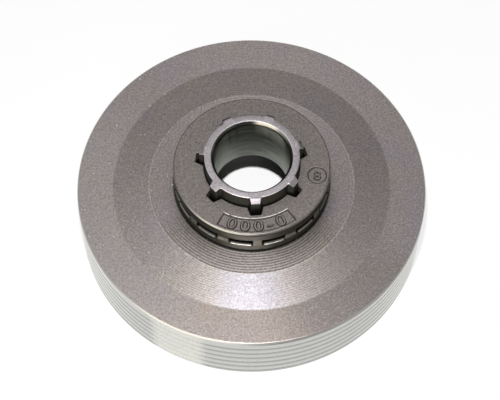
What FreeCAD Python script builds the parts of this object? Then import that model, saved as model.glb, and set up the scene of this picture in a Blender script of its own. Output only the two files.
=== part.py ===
"""Clutch drum of a chainsaw with its floating rim sprocket.

A turned steel cup carries a brazed-in hub with seven spline teeth. The rim that drives
the chain slips over the hub and floats along the teeth. Millimetres, +Z up, origin on
the axis in the plane of the cup's open edge.
"""
import FreeCAD
import Part
import os
import Sketcher

# Driving sizes in millimetres and degrees
SIZES = {
    # Cup
    "drum_radius": 35.2,
    "face_height": 13.75,
    "drum_wall": 3.2,
    "web_thickness": 2.3,
    "outer_land": 7.2,
    "cone_run": 7.3,
    "cone_rise": 0.95,
    "face_chamfer": 0.45,
    "inner_corner": 1.0,
    "mouth_chamfer": 0.5,
    # Turned ridges on the cup's outer wall
    "ridge_pitch": 2.04,
    "ridge_depth": 0.12,
    "ridge_foot": 0.72,
    "ridge_top_land": 1.3,
    # Hub
    "bore_radius": 7.5,
    "bore_mouth_run": 0.6,
    "bore_mouth_depth": 0.8,
    "hub_wall": 1.88,
    "hub_stand": 10.4,
    "braze_gap": 0.05,
    # Spline
    "spline_count": 7,
    "spline_angle": 274.8,
    "tooth_height": 1.04,
    "tooth_root_width": 2.3,
    "tooth_tip_width": 1.75,
    "tooth_bevel_land": 0.15,
    "tooth_bevel_drop": 0.66,
    "tooth_root_fillet": 0.3,
    # Rim sprocket
    "rim_bore_gap": 0.2,
    "spline_tip_gap": 0.83,
    "spline_side_gap": 0.4,
    "rim_core": 1.4,
    "channel_depth": 3.0,
    "channel_height": 1.84,
    "rail_thickness": 2.5,
    "rim_chamfer": 0.4,
    "post_width": 1.8,
    "block_width": 2.5,
    "block_recess": 0.3,
    "seat_gap": 0.03,
}

doc = FreeCAD.newDocument("RimSprocketDrum")
sheet = doc.addObject("Spreadsheet::Sheet", "Sizes")
for row, (alias, value) in enumerate(SIZES.items(), start=1):
    sheet.set(f"A{row}", alias)
    sheet.set(f"B{row}", str(value))
    sheet.setAlias(f"B{row}", alias)
doc.recompute()

# Sizes that follow from the driving ones, as expressions on the sheet
CONE_OUTER = "(Sizes.drum_radius - Sizes.outer_land)"
CONE_INNER = f"({CONE_OUTER} - Sizes.cone_run)"
WALL_INNER = "(Sizes.drum_radius - Sizes.drum_wall)"
WEB_TOP = "(Sizes.face_height + Sizes.cone_rise)"
HUB_RADIUS = "(Sizes.bore_radius + Sizes.hub_wall)"
TOOTH_RADIUS = f"({HUB_RADIUS} + Sizes.tooth_height)"
HOLE_RADIUS = f"({HUB_RADIUS} + Sizes.braze_gap)"
TOOTH_TAPER = "((Sizes.tooth_root_width - Sizes.tooth_tip_width) / 2 / Sizes.tooth_height)"
RIM_BORE = f"({HUB_RADIUS} + Sizes.rim_bore_gap)"
SLOT_RADIUS = f"({TOOTH_RADIUS} + Sizes.spline_tip_gap)"
CHANNEL_FLOOR = f"({SLOT_RADIUS} + Sizes.rim_core)"
RIM_RADIUS = f"({CHANNEL_FLOOR} + Sizes.channel_depth)"
RIM_THICKNESS = "(2 * Sizes.rail_thickness + Sizes.channel_height)"


def size(expression):
    """Value of an expression on the sheet, as a plain number."""
    return float(sheet.evalExpression(str(expression)))


def new_body(label, height=None, angle=None):
    """Body with its label, set at a height on the axis and turned about it."""
    body = doc.addObject("PartDesign::Body", label)
    body.Label = label
    if height is not None:
        body.setExpression("Placement.Base.z", height)
    if angle is not None:
        body.Placement.Rotation = FreeCAD.Rotation(FreeCAD.Vector(0, 0, 1), size(angle))
        body.setExpression("Placement.Rotation.Angle", angle)
    return body


def origin_feature(body, role):
    return next(item for item in body.Origin.OriginFeatures if item.Role == role)


def new_sketch(body, name, plane, offset=None):
    """Sketch on one of the body's origin planes, moved along its normal by an expression."""
    sketch = body.newObject("Sketcher::SketchObject", name)
    sketch.AttachmentSupport = (origin_feature(body, plane), [""])
    sketch.MapMode = "FlatFace"
    if offset is not None:
        sketch.setExpression("AttachmentOffset.Base.z", offset)
    return sketch


def hold(sketch, kind, geometry, point, expression):
    """Ties one coordinate of a sketch point to an expression."""
    index = sketch.addConstraint(Sketcher.Constraint(kind, -1, 1, geometry, point, size(expression)))
    sketch.setExpression(f"Constraints[{index}]", expression)


def hold_radius(sketch, geometry, expression):
    index = sketch.addConstraint(Sketcher.Constraint("Radius", geometry, size(expression)))
    sketch.setExpression(f"Constraints[{index}]", expression)


def outline(sketch, corners):
    """Closed outline of straight lines, each corner a pair of expressions."""
    points = [FreeCAD.Vector(size(x), size(y), 0) for x, y in corners]
    count = len(points)
    for index in range(count):
        sketch.addGeometry(Part.LineSegment(points[index], points[(index + 1) % count]), False)
    for index in range(count):
        sketch.addConstraint(Sketcher.Constraint("Coincident", index, 2, (index + 1) % count, 1))
    for index, (x, y) in enumerate(corners):
        hold(sketch, "DistanceX", index, 1, x)
        hold(sketch, "DistanceY", index, 1, y)
    return sketch


def revolve(body, name, kind, sketch):
    """Full turn of a sketch about the part's axis, added or cut away."""
    feature = body.newObject(f"PartDesign::{kind}", name)
    feature.Profile = sketch
    feature.ReferenceAxis = (sketch, ["V_Axis"])
    feature.Angle = 360
    doc.recompute()
    return feature


def extrude(body, name, kind, sketch, length, reversed_way=False):
    feature = body.newObject(f"PartDesign::{kind}", name)
    feature.Profile = sketch
    feature.setExpression("Length", length)
    feature.Reversed = reversed_way
    doc.recompute()
    return feature


def around_axis(body, name, feature, count):
    """Copies of a feature, evenly spaced about the axis."""
    pattern = body.newObject("PartDesign::PolarPattern", name)
    pattern.Originals = [feature]
    pattern.Axis = (origin_feature(body, "Z_Axis"), [""])
    pattern.Angle = 360
    pattern.setExpression("Occurrences", count)
    body.Tip = pattern
    doc.recompute()
    return pattern


def soften(body, name, kind, base, amount, wanted):
    """Fillet or chamfer on the edges of a feature that a test picks out."""
    names = [f"Edge{i}" for i, edge in enumerate(base.Shape.Edges, start=1) if wanted(edge)]
    feature = body.newObject(f"PartDesign::{kind}", name)
    feature.Base = (base, names)
    feature.setExpression("Radius" if kind == "Fillet" else "Size", amount)
    doc.recompute()
    return feature


def is_ring(edge, radius, height):
    """True for a circle about the axis with this radius and height."""
    curve = edge.Curve
    return (
        isinstance(curve, Part.Circle)
        and abs(curve.Radius - size(radius)) < 1e-4
        and abs(edge.BoundBox.ZMin - size(height)) < 1e-4
        and edge.BoundBox.ZLength < 1e-4
    )


# Cup: one turned profile with a ridged wall and a dished web, then its broken edges
def make_drum():
    body = new_body("clutch_drum")
    under = "(Sizes.face_height - Sizes.web_thickness)"
    under_raised = f"({WEB_TOP} - Sizes.web_thickness)"
    profile = outline(new_sketch(body, "cup_profile", "XZ_Plane"), [
        (f"{WALL_INNER} + Sizes.mouth_chamfer", "0"),
        ("Sizes.drum_radius", "0"),
        *ridged_wall(),
        ("Sizes.drum_radius", "Sizes.face_height"),
        (CONE_OUTER, "Sizes.face_height"),
        (CONE_INNER, WEB_TOP),
        (HOLE_RADIUS, WEB_TOP),
        (HOLE_RADIUS, under_raised),
        (CONE_INNER, under_raised),
        (CONE_OUTER, under),
        (WALL_INNER, under),
        (WALL_INNER, "Sizes.mouth_chamfer"),
    ])
    cup = revolve(body, "cup", "Revolution", profile)
    edged = soften(body, "face_edge", "Chamfer", cup, "Sizes.face_chamfer",
                   lambda e: is_ring(e, "Sizes.drum_radius", "Sizes.face_height"))
    soften(body, "inner_corner", "Chamfer", edged, "Sizes.inner_corner",
           lambda e: is_ring(e, WALL_INNER, under))
    return body


def ridged_wall():
    """Corners of the ridges that the coarse turning cut leaves, from the open edge upwards."""
    half_pitch = "Sizes.ridge_pitch / 2"
    room = size(f"Sizes.face_height - Sizes.ridge_top_land - Sizes.ridge_foot - {half_pitch}")
    corners = []
    for turn in range(int(room / size("Sizes.ridge_pitch")) + 1):
        trough = f"Sizes.ridge_foot + {turn} * Sizes.ridge_pitch"
        corners.append(("Sizes.drum_radius - Sizes.ridge_depth", trough))
        corners.append(("Sizes.drum_radius", f"{trough} + {half_pitch}"))
    return corners


# Hub: a sleeve with a wide bore mouth, its foot brazed into the web, and bevelled spline teeth
def make_hub():
    body = new_body("splined_hub", WEB_TOP, "Sizes.spline_angle")
    foot = "-Sizes.web_thickness"
    profile = outline(new_sketch(body, "sleeve_profile", "XZ_Plane"), [
        ("Sizes.bore_radius", foot),
        (HUB_RADIUS, foot),
        (HUB_RADIUS, "Sizes.hub_stand"),
        ("Sizes.bore_radius + Sizes.bore_mouth_run", "Sizes.hub_stand"),
        ("Sizes.bore_radius", "Sizes.hub_stand - Sizes.bore_mouth_depth"),
    ])
    revolve(body, "sleeve", "Revolution", profile)

    rooted = "(Sizes.bore_radius + Sizes.hub_wall / 2)"
    half_root = f"(Sizes.tooth_root_width / 2 + {TOOTH_TAPER} * Sizes.hub_wall / 2)"
    half_tip = "(Sizes.tooth_tip_width / 2)"
    tooth_outline = outline(new_sketch(body, "tooth_outline", "XY_Plane"), [
        (rooted, f"-{half_root}"),
        (TOOTH_RADIUS, f"-{half_tip}"),
        (TOOTH_RADIUS, half_tip),
        (rooted, half_root),
    ])
    tooth = extrude(body, "tooth", "Pad", tooth_outline, "Sizes.hub_stand")
    teeth = around_axis(body, "teeth", tooth, "Sizes.spline_count")

    def is_root(edge):
        middle = edge.BoundBox.Center
        upright = edge.BoundBox.ZLength > 0.9 * size("Sizes.hub_stand")
        return upright and abs((middle.x ** 2 + middle.y ** 2) ** 0.5 - size(HUB_RADIUS)) < 1e-3

    soften(body, "tooth_roots", "Fillet", teeth, "Sizes.tooth_root_fillet", is_root)

    clear = "Sizes.tooth_height"
    start = f"({HUB_RADIUS} + Sizes.tooth_bevel_land)"
    run = "(Sizes.tooth_height - Sizes.tooth_bevel_land)"
    drop = f"(Sizes.tooth_bevel_drop * ({run} + {clear}) / {run})"
    bevel_profile = outline(new_sketch(body, "bevel_profile", "XZ_Plane"), [
        (start, "Sizes.hub_stand"),
        (f"{TOOTH_RADIUS} + {clear}", f"Sizes.hub_stand - {drop}"),
        (f"{TOOTH_RADIUS} + {clear}", f"Sizes.hub_stand + {clear}"),
        (start, f"Sizes.hub_stand + {clear}"),
    ])
    revolve(body, "tooth_bevel", "Groove", bevel_profile)
    return body


# Rim: two rails round a splined core, with posts and blocks dividing the channel
def make_rim():
    body = new_body("rim_sprocket", f"{WEB_TOP} + Sizes.seat_gap", "Sizes.spline_angle")
    upper_rail = "(Sizes.rail_thickness + Sizes.channel_height)"
    profile = outline(new_sketch(body, "rim_profile", "XZ_Plane"), [
        (RIM_BORE, "0"),
        (RIM_RADIUS, "0"),
        (RIM_RADIUS, "Sizes.rail_thickness"),
        (CHANNEL_FLOOR, "Sizes.rail_thickness"),
        (CHANNEL_FLOOR, upper_rail),
        (RIM_RADIUS, upper_rail),
        (RIM_RADIUS, RIM_THICKNESS),
        (RIM_BORE, RIM_THICKNESS),
    ])
    rails = revolve(body, "rails", "Revolution", profile)
    soften(body, "rail_edges", "Chamfer", rails, "Sizes.rim_chamfer",
           lambda e: is_ring(e, RIM_RADIUS, "0") or is_ring(e, RIM_RADIUS, RIM_THICKNESS))

    half_turn = "(180 / Sizes.spline_count)"
    post = divider(body, "post", "Sizes.post_width", RIM_RADIUS, "0")
    around_axis(body, "posts", post, "Sizes.spline_count")
    block_radius = f"({RIM_RADIUS} - Sizes.block_recess)"
    block = divider(body, "block", "Sizes.block_width", block_radius, half_turn)
    around_axis(body, "blocks", block, "Sizes.spline_count")

    rooted = HUB_RADIUS
    half_root = "(Sizes.tooth_root_width / 2 + Sizes.spline_side_gap)"
    half_tip = f"(Sizes.tooth_tip_width / 2 + Sizes.spline_side_gap - {TOOTH_TAPER} * Sizes.spline_tip_gap)"
    slot_outline = outline(new_sketch(body, "slot_outline", "XY_Plane"), [
        (rooted, f"-{half_root}"),
        (SLOT_RADIUS, f"-{half_tip}"),
        (SLOT_RADIUS, half_tip),
        (rooted, half_root),
    ])
    slot = extrude(body, "slot", "Pocket", slot_outline, RIM_THICKNESS, reversed_way=True)
    around_axis(body, "slots", slot, "Sizes.spline_count")
    return body


def divider(body, name, width, radius, angle):
    """Bar across the channel from its floor to a round end about the axis."""
    sketch = new_sketch(body, f"{name}_outline", "XY_Plane", "Sizes.rail_thickness")
    sketch.setExpression("AttachmentOffset.Rotation.Angle", angle)
    inner = f"({CHANNEL_FLOOR} - Sizes.rim_core / 2)"
    half = f"({width} / 2)"
    reach = f"sqrt({radius} * {radius} - {half} * {half})"
    places = [(inner, f"-{half}"), (reach, f"-{half}"), (reach, half), (inner, half)]
    right_in, right_out, left_out, left_in = [FreeCAD.Vector(size(x), size(y), 0) for x, y in places]
    end = FreeCAD.Vector(size(radius), 0, 0)
    sketch.addGeometry(Part.LineSegment(right_in, right_out), False)
    sketch.addGeometry(Part.Arc(right_out, end, left_out), False)
    sketch.addGeometry(Part.LineSegment(left_out, left_in), False)
    sketch.addGeometry(Part.LineSegment(left_in, right_in), False)
    for side in range(len(places)):
        sketch.addConstraint(Sketcher.Constraint("Coincident", side, 2, (side + 1) % len(places), 1))
    sketch.addConstraint(Sketcher.Constraint("Coincident", 1, 3, -1, 1))
    hold_radius(sketch, 1, radius)
    hold(sketch, "DistanceX", 0, 1, inner)
    hold(sketch, "DistanceX", 2, 2, inner)
    hold(sketch, "DistanceY", 0, 1, f"-{half}")
    hold(sketch, "DistanceY", 0, 2, f"-{half}")
    hold(sketch, "DistanceY", 2, 1, half)
    hold(sketch, "DistanceY", 2, 2, half)
    return extrude(body, name, "Pad", sketch, "Sizes.channel_height")


# Build, check and write the pieces
pieces = [make_drum(), make_hub(), make_rim()]
doc.recompute()
for item in doc.Objects:
    if {"Invalid", "Error"} & set(item.State):
        raise RuntimeError(f"{item.Label} failed: {item.State}")
for piece in pieces:
    shape = piece.Shape
    if shape.isNull() or not shape.isValid() or len(shape.Solids) != 1:
        raise RuntimeError(f"{piece.Label} isn't one valid solid")

os.makedirs("parts", exist_ok=True)
for piece in pieces:
    shape = piece.Shape
    shape.exportStep(f"parts/{piece.Label}.step")
    box = shape.BoundBox
    heights = f"z {box.ZMin:.2f} to {box.ZMax:.2f}"
    print(f"{piece.Label}: {shape.Volume:.1f} mm3, {len(shape.Faces)} faces, {heights}")
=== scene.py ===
# %% [markdown]
# # A chainsaw's clutch drum and rim sprocket
# The object is a turned steel cup, a splined hub brazed into its middle and a loose rim that
# slides on the hub's teeth and drives the chain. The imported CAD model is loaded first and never
# moved. Every mesh below is made in the same place, in metres. Three of them each stand for one
# CAD piece, and the digits on the rim are added.

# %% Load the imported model
import bmesh
import bpy
import math
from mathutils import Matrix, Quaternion, Vector


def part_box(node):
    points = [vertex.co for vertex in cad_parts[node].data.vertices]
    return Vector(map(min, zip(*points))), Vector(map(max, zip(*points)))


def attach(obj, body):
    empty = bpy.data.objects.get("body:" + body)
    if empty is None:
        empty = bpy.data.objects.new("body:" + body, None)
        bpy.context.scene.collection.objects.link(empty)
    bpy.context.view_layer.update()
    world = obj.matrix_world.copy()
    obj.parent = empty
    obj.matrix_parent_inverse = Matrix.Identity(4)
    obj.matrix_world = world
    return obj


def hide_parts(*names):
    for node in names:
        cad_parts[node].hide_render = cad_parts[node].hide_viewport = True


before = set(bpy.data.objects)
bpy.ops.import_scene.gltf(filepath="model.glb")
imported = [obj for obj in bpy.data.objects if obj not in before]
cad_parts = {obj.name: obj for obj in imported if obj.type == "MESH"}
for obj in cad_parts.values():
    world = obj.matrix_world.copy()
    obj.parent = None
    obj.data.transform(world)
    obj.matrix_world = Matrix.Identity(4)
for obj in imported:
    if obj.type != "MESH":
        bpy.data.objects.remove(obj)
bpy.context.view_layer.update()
MM = 0.001
drum_low, drum_high = [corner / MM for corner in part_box("clutch_drum")]
hub_low, hub_high = [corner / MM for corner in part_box("splined_hub")]
rim_low, rim_high = [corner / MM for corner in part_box("rim_sprocket")]
for low, high in ((drum_low, drum_high), (hub_low, hub_high), (rim_low, rim_high)):
    print("a piece stands from", round(low.z, 2), "to", round(high.z, 2), "mm")

# %% [markdown]
# ## Camera
# The photograph looks down on the face from in front. The circles of the cup give the viewing
# angle, and how much smaller the far edge is than the near edge gives the distance. A lens in
# pixels becomes a lens in millimetres through the sensor's width.

# %% Camera
PHOTO_WIDTH = 500
FOCAL_PIXELS = 1645.7
SENSOR_WIDTH = 36.0
LOOK_AT = Vector((-0.278, -3.625, 13.75)) * MM
LOOK_DISTANCE = 331.03 * MM
LOOK_DOWN = math.radians(61.4)
CAMERA_ROLL = math.radians(0.755)

camera_data = bpy.data.cameras.new("camera")
camera_data.sensor_width = SENSOR_WIDTH
camera_data.lens = SENSOR_WIDTH * FOCAL_PIXELS / PHOTO_WIDTH
camera = bpy.data.objects.new("camera", camera_data)
bpy.context.scene.collection.objects.link(camera)
sight = Vector((0, math.cos(LOOK_DOWN), -math.sin(LOOK_DOWN)))
camera.location = LOOK_AT - sight * LOOK_DISTANCE
camera.rotation_mode = "QUATERNION"
camera.rotation_quaternion = sight.to_track_quat("-Z", "Y") @ Quaternion((0, 0, 1), CAMERA_ROLL)
bpy.context.scene.camera = camera
bpy.context.scene.view_settings.view_transform = "Standard"
print("lens", round(camera_data.lens, 1), "mm")

# %% [markdown]
# ## Node maths as plain expressions
# Both materials and Geometry Nodes are graphs of sockets. This class wraps one socket, so that
# `1 - mask * 0.5` adds the Math nodes that it says. Every other node goes through `node`, which
# sets the node's own settings first and then fills or links its sockets.


# %% A socket with operators
class Flow:
    """A node tree and one of its output sockets."""

    def __init__(self, tree, socket=None):
        self.tree = tree
        self.socket = socket

    def node(self, kind, settings=None, inputs=None, output=0):
        """Adds a node with its settings and inputs, and returns one of its outputs."""
        made = self.tree.nodes.new(kind)
        for name, value in (settings or {}).items():
            setattr(made, name, value)
        for key, value in (inputs or {}).items():
            if isinstance(value, Flow):
                self.tree.links.new(value.socket, made.inputs[key])
            else:
                made.inputs[key].default_value = value
        return Flow(self.tree, made.outputs[output] if len(made.outputs) else None)

    def math(self, operation, *values, clamp=False):
        settings = {"operation": operation, "use_clamp": clamp}
        return self.node("ShaderNodeMath", settings, dict(enumerate(values)))

    def __add__(self, other):
        return self.math("ADD", self, other)

    def __radd__(self, other):
        return self.math("ADD", other, self)

    def __sub__(self, other):
        return self.math("SUBTRACT", self, other)

    def __rsub__(self, other):
        return self.math("SUBTRACT", other, self)

    def __mul__(self, other):
        return self.math("MULTIPLY", self, other)

    def __rmul__(self, other):
        return self.math("MULTIPLY", other, self)

    def __truediv__(self, other):
        return self.math("DIVIDE", self, other)

    def vector(self, operation, *values, output="Vector"):
        """Vector Math on places or directions; a length or a dot product is its Value."""
        settings = {"operation": operation}
        return self.node("ShaderNodeVectorMath", settings, dict(enumerate(values)), output)

    def between(self, low, high):
        """0 below low, 1 above high and a smooth step between them; low may be the larger."""
        settings = {"interpolation_type": "SMOOTHSTEP"}
        inputs = {"Value": self, "From Min": low, "From Max": high}
        return self.node("ShaderNodeMapRange", settings, inputs)

    def within(self, rise, fall):
        """Fades in between the two values of rise, and out again between the two of fall."""
        return self.between(*rise) * self.between(*fall)


print("socket maths ready")

# %% Colours
# The Mix node has sockets of the same names for numbers and vectors, so its colours go by number.
MIX_FACTOR = 0
MIX_FIRST = 6
MIX_SECOND = 7
MIX_RESULT = 2


def blend_colours(mask, first, second):
    """First colour where the mask is 0, second where it is 1."""
    first, second = [c if isinstance(c, Flow) else (*c, 1.0) for c in (first, second)]
    inputs = {MIX_FACTOR: mask, MIX_FIRST: first, MIX_SECOND: second}
    return mask.node("ShaderNodeMix", {"data_type": "RGBA"}, inputs, output=MIX_RESULT)


def layers(colour, *coats):
    """Lays coats over a colour, one after another: each a mask, how much it covers, its colour."""
    for mask, cover, coat in coats:
        colour = blend_colours(mask * cover, colour, coat)
    return colour


def grey(value):
    return (value, value, value)


print("colour helpers ready")

# %% [markdown]
# ## Floor
# The part lies on white paper. A plain diffuse sheet would turn grey away from the lamp, and a
# glowing one would lose the shadow. So the paper shows itself to the camera and to reflections
# partly as plain white, and partly as lit paper. Under the cup it is only lit paper.

# %% Floor
FLOOR_REACH = 1.5
FLOOR_DROP = 0.02 * MM
PAPER = 0.97
PAPER_GLOW = 0.8
# How far inside the cup's outer wall the glow starts and is full, in millimetres.
GLOW_START = 2.0
GLOW_FULL = 0.5
FLAT = (1, 1, 0)
drum_radius = drum_high.x


def axis_distance(place):
    """Distance of a place from the part's axis."""
    return place.vector("LENGTH", place.vector("MULTIPLY", place, FLAT), output="Value")


floor_mesh = bpy.data.meshes.new("floor")
floor_signs = [(-1, -1), (1, -1), (1, 1), (-1, 1)]
floor_corners = [(x * FLOOR_REACH, y * FLOOR_REACH, -FLOOR_DROP) for x, y in floor_signs]
floor_mesh.from_pydata(floor_corners, [], [(0, 1, 2, 3)])
floor = bpy.data.objects.new("floor", floor_mesh)
bpy.context.scene.collection.objects.link(floor)

paper = bpy.data.materials.new("white_paper")
paper.use_nodes = True
paper.node_tree.nodes.clear()
sheet = Flow(paper.node_tree)
from_axis = axis_distance(sheet.node("ShaderNodeTexCoord", output="Object"))
outside_cup = from_axis.between((drum_radius - GLOW_START) * MM, (drum_radius - GLOW_FULL) * MM)
rays = ("Is Camera Ray", "Is Glossy Ray", "Is Transmission Ray")
directly, in_metal, through = [sheet.node("ShaderNodeLightPath", output=ray) for ray in rays]
seen = sheet.math("ADD", directly + in_metal, through, clamp=True)
lit = sheet.node("ShaderNodeBsdfDiffuse", None, {"Color": (*grey(PAPER), 1)})
white = sheet.node("ShaderNodeEmission", None, {"Color": (1, 1, 1, 1), "Strength": 1.0})
shown = sheet.node("ShaderNodeMixShader", None, {0: seen * outside_cup * PAPER_GLOW, 1: lit, 2: white})
sheet.node("ShaderNodeOutputMaterial", None, {"Surface": shown})
floor_mesh.materials.append(paper)
print("floor", 2 * FLOOR_REACH, "m wide")

# %% [markdown]
# ## Lamp
# One fairly small lamp stands just above the camera, as a photographer's flash does: its light
# goes through the bore and leaves a bright disc on the paper under the cup. White paper needs a
# stronger lamp than steel, which would burn out where it mirrors it. So two lamps share one place:
# a strong one that no reflection shows, and a weaker one that only reflections show.

# %% Lamp
LAMP_PLACE = Vector((-7.0, -97.0, 315.0)) * MM
LAMP_WIDTH = 14 * MM
PAPER_LAMP_LEVEL = 1.03
STEEL_LAMP_LEVEL = 0.66


def new_lamp(name, level):
    """Round lamp above the camera; at level 1 white paper that faces it renders as white."""
    lamp_data = bpy.data.lights.new(name, "AREA")
    lamp_data.shape = "DISK"
    lamp_data.size = LAMP_WIDTH
    # A one-sided lamp of P watts gives P / pi / distance squared on a surface that faces it.
    lamp_data.energy = level * math.pi * math.pi * LAMP_PLACE.length_squared
    lamp = bpy.data.objects.new(name, lamp_data)
    lamp.location = LAMP_PLACE
    lamp.rotation_euler = (-LAMP_PLACE).to_track_quat("-Z", "Y").to_euler()
    bpy.context.scene.collection.objects.link(lamp)
    print(name, round(lamp_data.energy, 2), "W")
    return lamp


paper_lamp = new_lamp("paper_lamp", PAPER_LAMP_LEVEL)
paper_lamp.visible_glossy = False
steel_lamp = new_lamp("steel_lamp", STEEL_LAMP_LEVEL)
steel_lamp.visible_diffuse = False

# %% [markdown]
# ## Sky
# A soft sky, brightest a little behind the zenith, gives the flat faces their grey, and its front
# half is brighter than its back. Steel is a mirror for patches of such a sky. A low and warm one on
# the left stands for a window and draws the white lines along the edges on that side. A small one
# in front stands for the lamp's reflector, and fainter ones on both sides for the room. Little of
# that sky reaches the paper, which is the lamp's to light.

# %% Sky
SKY_LEVEL = 0.1
OVERHEAD_LEVEL = 1.0
OVERHEAD_FALL = 12.0
FRONT_LEVEL = 0.1
FRONT_AIM = (0, -1, 0)
FRONT_FADE = (0.1, 0.6)
WINDOW_COLOUR = (1.0, 0.95, 0.85)
SKY_ON_PAPER = 0.03


def heading(azimuth, elevation):
    """Direction from two angles in degrees; azimuth runs from +X towards +Y."""
    turn, rise = math.radians(azimuth), math.radians(elevation)
    return Vector((math.cos(turn) * math.cos(rise), math.sin(turn) * math.cos(rise), math.sin(rise)))


OVERHEAD = heading(105, 70)
# Each patch: its middle, the angles from there at which it ends and is full, and its level.
PATCHES = {
    "window": (heading(239, 17), (34, 16), 1.7),
    "reflector": (heading(278, 50), (15, 8), 3.2),
    "side": (heading(190, 25), (45, 20), 0.5),
    "room": (heading(345, 16), (42, 20), 0.28),
}

world = bpy.data.worlds.new("sky")
world.use_nodes = True
bpy.context.scene.world = world
sky = Flow(world.node_tree)
outward = sky.node("ShaderNodeTexCoord", output="Generated")


def towards(aim):
    """Cosine of the angle between the ray and a direction."""
    return sky.vector("DOT_PRODUCT", outward, aim, output="Value")


def cosines(angles):
    return [math.cos(math.radians(angle)) for angle in angles]


overhead = sky.math("POWER", sky.math("MAXIMUM", towards(OVERHEAD), 0.0), OVERHEAD_FALL)
level = SKY_LEVEL + overhead * OVERHEAD_LEVEL + towards(FRONT_AIM).between(*FRONT_FADE) * FRONT_LEVEL
shares = {name: towards(aim).between(*cosines(reach)) for name, (aim, reach, _) in PATCHES.items()}
for name, (_, _, patch_level) in PATCHES.items():
    level = level + shares[name] * patch_level
on_paper = sky.node("ShaderNodeLightPath", output="Is Diffuse Ray")
level = level * (1 - on_paper * (1 - SKY_ON_PAPER))
tint = blend_colours(shares["window"], grey(1.0), WINDOW_COLOUR)
background = world.node_tree.nodes["Background"]
world.node_tree.links.new(tint.socket, background.inputs["Color"])
world.node_tree.links.new(level.socket, background.inputs["Strength"])
print("sky patches:", sorted(PATCHES))

# %% [markdown]
# ## What the finishes share
# All three pieces are bare steel, told apart by how they were made: turned, ground, or pressed from
# powder. Image textures could paint them. Here each finish is worked out from the place on the
# part, in millimetres, so it has no seams and stays sharp from near by. A finish asks how far a
# place is from the axis, how high it is, on which side of the axis it lies and which way it faces.
# A side is given as an azimuth, the angle from there at which it ends, and the angle at which it
# is full, all in degrees; with the two angles swapped it is the rest of the circle.


# %% A place on the part
class Spot:
    """A place on the part in millimetres, and what a finish asks about it."""

    def __init__(self, tree):
        metres = Flow(tree).node("ShaderNodeTexCoord", output="Object")
        scaling = {0: metres, "Scale": 1 / MM}
        self.place = metres.node("ShaderNodeVectorMath", {"operation": "SCALE"}, scaling)
        self.radius = axis_distance(self.place)
        self.height = self.along("Z")

    def along(self, axis):
        return self.place.node("ShaderNodeSeparateXYZ", None, {0: self.place}, output=axis)

    def side(self, azimuth, end, full):
        """Share of a side: 1 within one angle of an azimuth, 0 beyond another, in degrees."""
        reach = self.place.vector("DOT_PRODUCT", self.place, heading(azimuth, 0), output="Value")
        return (reach / self.radius).between(*cosines((end, full)))

    def upward(self):
        """How far the surface faces up: 1 for level ground, 0 for a wall."""
        normal = self.place.node("ShaderNodeNewGeometry", output="Normal")
        return self.place.node("ShaderNodeSeparateXYZ", None, {0: normal}, output="Z")

    def grain(self, size, detail=2.0, roughness=0.5, squeeze=None):
        """Noise from 0 to 1 with features about this many millimetres across."""
        place = self.place.vector("MULTIPLY", self.place, squeeze) if squeeze else self.place
        inputs = {"Vector": place, "Scale": 1 / size, "Detail": detail, "Roughness": roughness}
        return place.node("ShaderNodeTexNoise", {"noise_dimensions": "3D"}, inputs)


# The azimuths that most sides are given from, in degrees.
FRONT = 270
BACK = 90
print("front at", FRONT, "degrees")


# %% Materials
def new_finish(name):
    """Material, its Principled node and the place on the part that its maths starts from."""
    material = bpy.data.materials.new(name)
    material.use_nodes = True
    return material, material.node_tree.nodes["Principled BSDF"], Spot(material.node_tree)


def bump(height, depth):
    """Normal from a height times its depth in millimetres."""
    return height.node("ShaderNodeBump", None, {"Height": height, "Strength": 1.0, "Distance": depth * MM})


def connect(shader, **sockets):
    """Fills or links sockets of a Principled node, spaces in their names written as underscores."""
    for name, value in sockets.items():
        socket = shader.inputs[name.replace("_", " ")]
        if isinstance(value, Flow):
            value.tree.links.new(value.socket, socket)
        else:
            socket.default_value = value


# Bare metal in nicks and sparkling grains, and the white of painted highlights.
BARE_METAL_AND_HIGHLIGHT = grey(0.95)
print("finish helpers ready")

# %% [markdown]
# ## Turned steel of the cup
# The face is turned, so fine rings run round it: coarse ones on the raised middle, finer ones on
# the cone. Rust, oil and handling have left clouds, grains and nicks on the grey. Painted light
# lies over them: warm, olive and blue tints where the lamp's highlight falls, lighter crests and
# darker troughs of the rings there, a paler left side, painted shade on the front right and at the
# rim's foot, and a painted highlight along the cone's inner edge. The wall carries coarse ridges,
# dirt darkens the troughs between them, and its two sides carry a painted sheen. Each layer below
# is one of these things.

# %% Zones of the face
CONE_START = 28.0
CONE_START_BLUR = 0.3
CONE_END = 20.7
CONE_END_BLUR = 0.2


def face_zones(radius):
    """Shares of the flat outer land, the cone and the raised middle."""
    land = radius.between(CONE_START - CONE_START_BLUR, CONE_START + CONE_START_BLUR)
    middle = radius.between(CONE_END + CONE_END_BLUR, CONE_END - CONE_END_BLUR)
    return land, (1 - land) * (1 - middle), middle


print("face: cone from", CONE_START, "to", CONE_END, "mm")

# %% Colours and sides of the face
FACE_STEEL = (0.378, 0.333, 0.330)
FACE_STAIN_AND_LIT_TINT = (0.400, 0.338, 0.292)
FACE_COOL = (0.365, 0.325, 0.360)
FACE_DARK = (0.180, 0.160, 0.148)
FACE_FLECK_AND_HIGHLIGHT = (0.700, 0.660, 0.640)
FACE_OLIVE = (0.330, 0.300, 0.230)
# The cone's front gets a painted blue tint of the lamp's highlight.
CONE_BLUE = (0.362, 0.346, 0.382)
PAINTED_SHADE_BLACK = (0.014, 0.0135, 0.012)
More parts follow.
